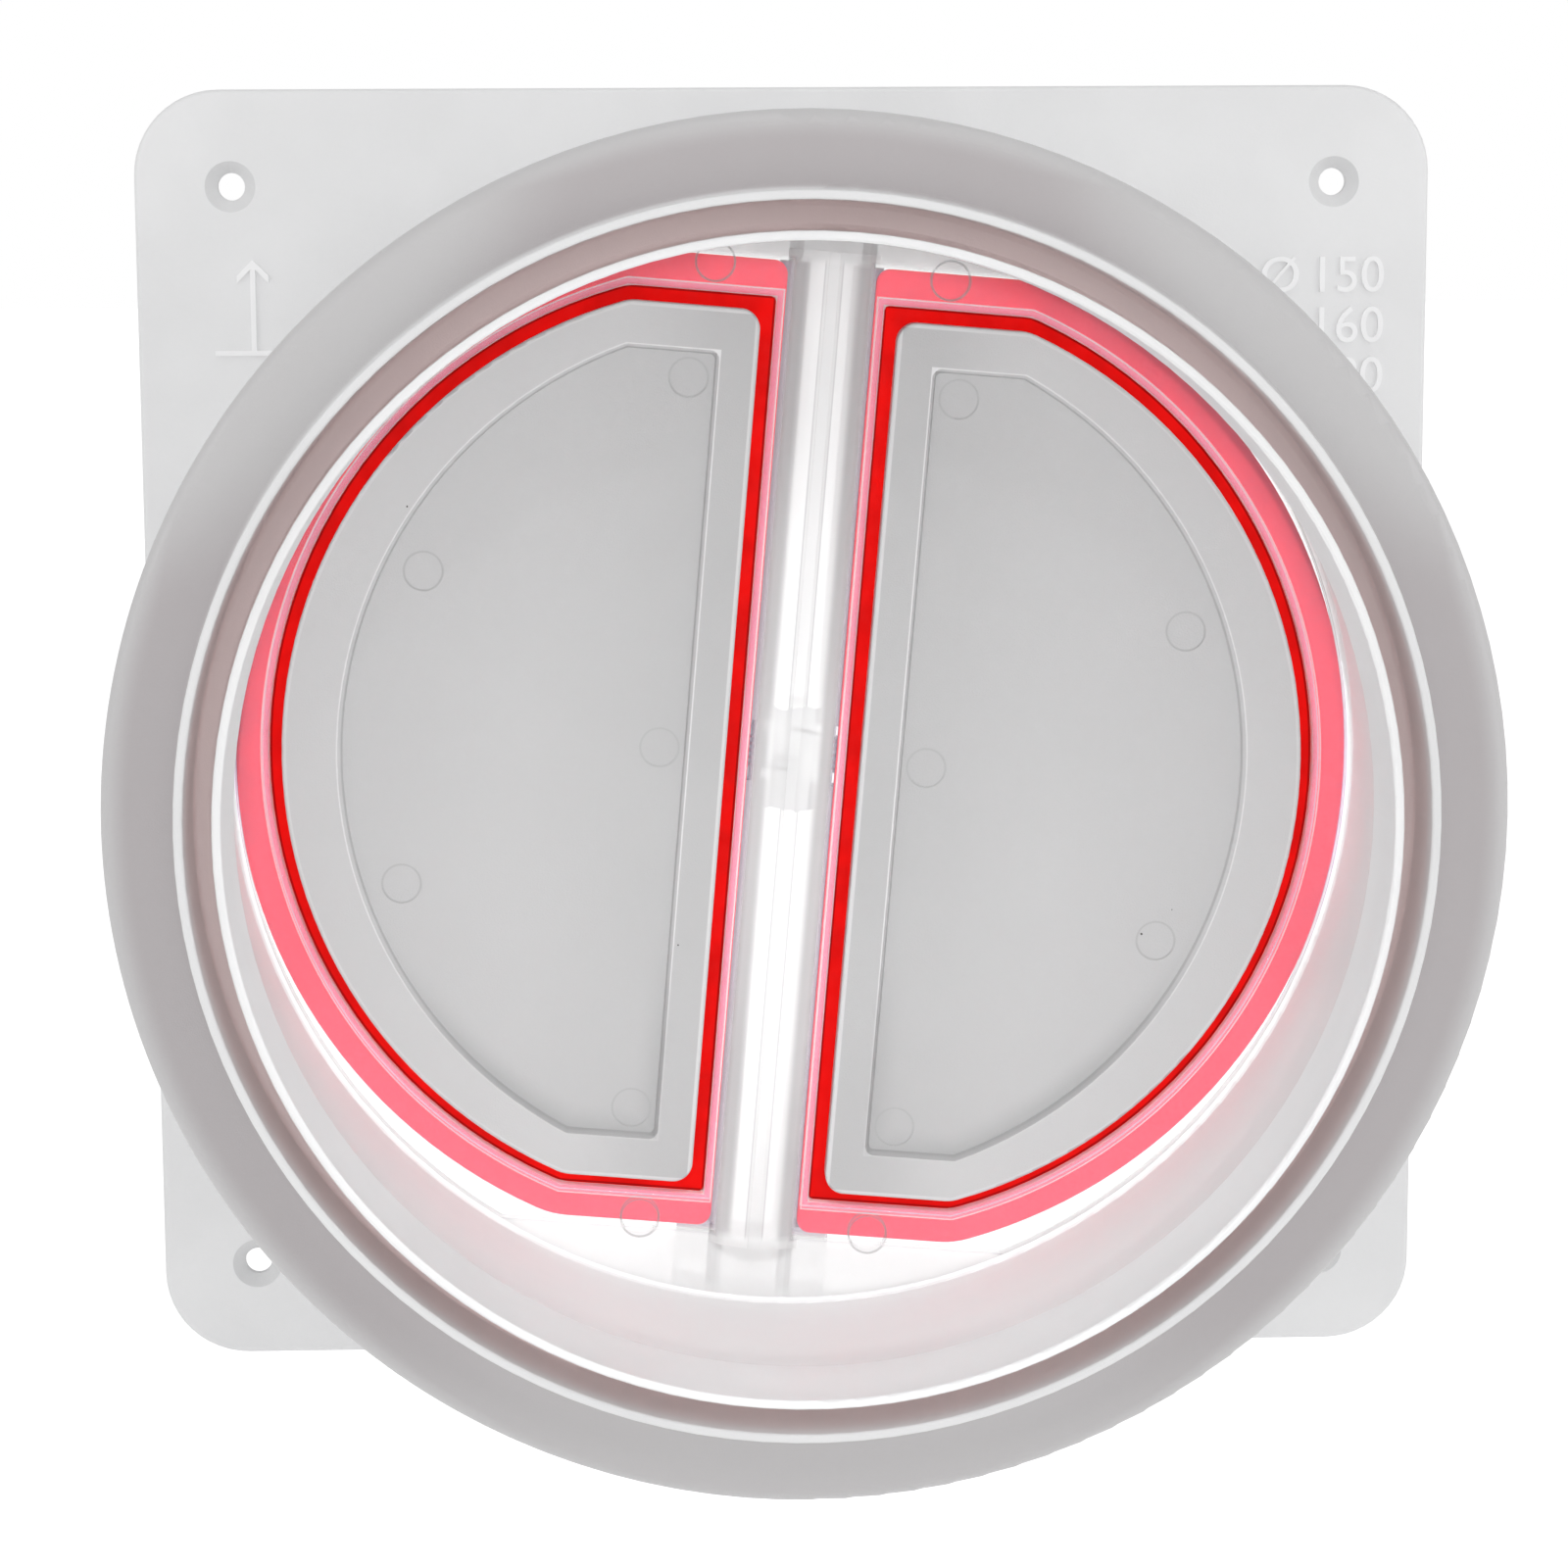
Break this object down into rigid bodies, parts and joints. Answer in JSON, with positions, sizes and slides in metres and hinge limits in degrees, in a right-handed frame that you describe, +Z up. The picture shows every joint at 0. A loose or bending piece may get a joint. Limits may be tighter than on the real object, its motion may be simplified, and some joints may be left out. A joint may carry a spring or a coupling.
{
  "type": "duct backdraft damper",
  "caption": "Square wall flange with a stepped round collar and a clear seat; paired D-shaped sprung flaps with red seals open away from the room and shut against backflow.",
  "frame": {"origin": "on the duct axis, in the back face of the wall plate", "axes": "+Y along the duct axis away from the room, into the flue; +Z up; the collar points to -Y"},
  "size_m": [0.19, 0.0986, 0.19],
  "materials": {
    "body_plastic": "white moulded plastic, semi-gloss",
    "seat_plastic": "milky clear moulded plastic, gloss",
    "flap_plastic": "grey-white moulded plastic, satin",
    "seal_rubber": "red soft silicone",
    "pin_steel": "drawn stainless steel",
    "spring_steel": "stainless spring wire"
  },
  "bodies": {
    "housing": {"flange_body": "body_plastic", "valve_seat": "seat_plastic", "hinge_pin_right": "pin_steel", "hinge_pin_left": "pin_steel", "spring_right": "spring_steel", "spring_left": "spring_steel"},
    "right_flap": {"flap_right": "flap_plastic", "seal_right": "seal_rubber"},
    "left_flap": {"flap_left": "flap_plastic", "seal_left": "seal_rubber"}
  },
  "joints": [
    {"name": "right_flap_hinge", "type": "hinge", "parent": "housing", "child": "right_flap", "pos_m": [0.00518, -0.0243, -0.00045], "axis": [0.0872, 0, 0.9962], "range_deg": [0, 80], "stiffness_Nm_per_rad": 0.024, "springref_deg": -14.32, "deforming": ["spring_right"]},
    {"name": "left_flap_hinge", "type": "hinge", "parent": "housing", "child": "left_flap", "pos_m": [-0.00518, -0.0243, 0.00045], "axis": [-0.0872, 0, -0.9962], "range_deg": [0, 80], "stiffness_Nm_per_rad": 0.024, "springref_deg": -14.32, "deforming": ["spring_left"]}
  ]
}
